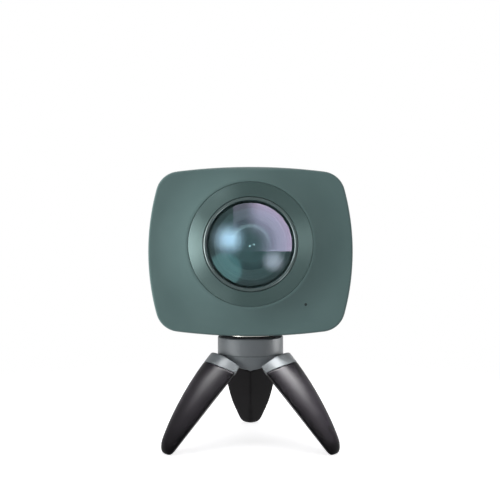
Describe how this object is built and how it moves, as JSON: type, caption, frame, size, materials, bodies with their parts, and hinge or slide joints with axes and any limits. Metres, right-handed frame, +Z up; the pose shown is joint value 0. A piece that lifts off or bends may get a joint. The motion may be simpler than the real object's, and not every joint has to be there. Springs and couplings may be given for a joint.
{
  "type": "360 degree camera",
  "caption": "Pillow-shaped pocket camera with a fisheye lens in a bell on each face, on a folding mini tripod whose legs close into a round handle.",
  "frame": {"origin": "on the ground, under the axis of the tripod", "axes": "+Z up, the front lens faces -Y, +X to the right of the picture"},
  "size_m": [0.0678, 0.0549, 0.0939],
  "materials": {
    "shell_plastic": "satin grey-green moulded plastic with a fine grain",
    "band_plastic": "satin, a little darker than the shells",
    "spun_metal": "spun, with fine circular lines",
    "dark_metal": "dark polished",
    "dome_glass": "clear, coated",
    "coated_glass": "clear, violet coating",
    "lens_black": "matte black",
    "sensor_chip": "dark chip face",
    "circuit_board": "green solder mask",
    "steel": "plain",
    "battery_wrap": "shrink wrap",
    "button_plastic": "satin",
    "light_pipe": "clear rod",
    "bush_brass": "nickel plated",
    "pad_rubber": "matte",
    "neck_grey": "satin grey",
    "hub_grey": "satin grey",
    "leg_grip": "soft-touch black"
  },
  "bodies": {
    "tripod_hub": {"hub_core": "hub_grey", "neck_sleeve": "neck_grey", "top_pad": "pad_rubber", "tripod_stud": "steel", "hinge_pins": "steel"},
    "left_leg": {"left_leg_root": "neck_grey", "left_leg_sleeve": "leg_grip"},
    "right_leg": {"right_leg_root": "neck_grey", "right_leg_sleeve": "leg_grip"},
    "rear_leg": {"rear_leg_root": "neck_grey", "rear_leg_sleeve": "leg_grip"},
    "camera": {"front_shell": "shell_plastic", "rear_shell": "shell_plastic", "mid_band": "band_plastic", "front_lens_bezel": "spun_metal", "rear_lens_bezel": "spun_metal", "front_lens_retainer": "dark_metal", "rear_lens_retainer": "dark_metal", "front_dome_lens": "dome_glass", "rear_dome_lens": "dome_glass", "front_lens_baffle": "lens_black", "rear_lens_baffle": "lens_black", "front_middle_lens": "coated_glass", "rear_middle_lens": "coated_glass", "front_inner_lens": "coated_glass", "rear_inner_lens": "coated_glass", "front_lens_barrel": "lens_black", "rear_lens_barrel": "lens_black", "front_image_sensor": "sensor_chip", "rear_image_sensor": "sensor_chip", "front_sensor_board": "circuit_board", "rear_sensor_board": "circuit_board", "main_board": "circuit_board", "board_screws": "steel", "processor_shield": "steel", "battery": "battery_wrap", "usb_socket": "steel", "card_socket": "steel", "button_switches": "lens_black", "status_light_pipe": "light_pipe", "microphone": "steel", "tripod_bush": "bush_brass"},
    "shutter": {"shutter_button": "button_plastic"},
    "power": {"power_button": "button_plastic"},
    "mode": {"mode_button": "button_plastic"}
  },
  "joints": [
    {"name": "left_leg_fold", "type": "hinge", "parent": "tripod_hub", "child": "left_leg", "pos_m": [-0.00502, -0.0029, 0.03187], "axis": [0.5, -0.866, 0], "range_deg": [0, 44]},
    {"name": "right_leg_fold", "type": "hinge", "parent": "tripod_hub", "child": "right_leg", "pos_m": [0.00502, -0.0029, 0.03187], "axis": [0.5, 0.866, 0], "range_deg": [0, 44]},
    {"name": "rear_leg_fold", "type": "hinge", "parent": "tripod_hub", "child": "rear_leg", "pos_m": [0, 0.0058, 0.03187], "axis": [-1, 0, 0], "range_deg": [0, 44]},
    {"name": "camera_turn", "type": "hinge", "parent": "tripod_hub", "child": "camera", "pos_m": [0, 0, 0.0384], "axis": [0, 0, 1], "continuous": true},
    {"name": "shutter_press", "type": "slide", "parent": "camera", "child": "shutter", "axis": [0, 0, -1], "range_m": [0, 0.0004], "stiffness_N_per_m": 2000},
    {"name": "power_press", "type": "slide", "parent": "camera", "child": "power", "axis": [-1, 0, 0], "range_m": [0, 0.0004], "stiffness_N_per_m": 2000},
    {"name": "mode_press", "type": "slide", "parent": "camera", "child": "mode", "axis": [-1, 0, 0], "range_m": [0, 0.0004], "stiffness_N_per_m": 2000}
  ]
}
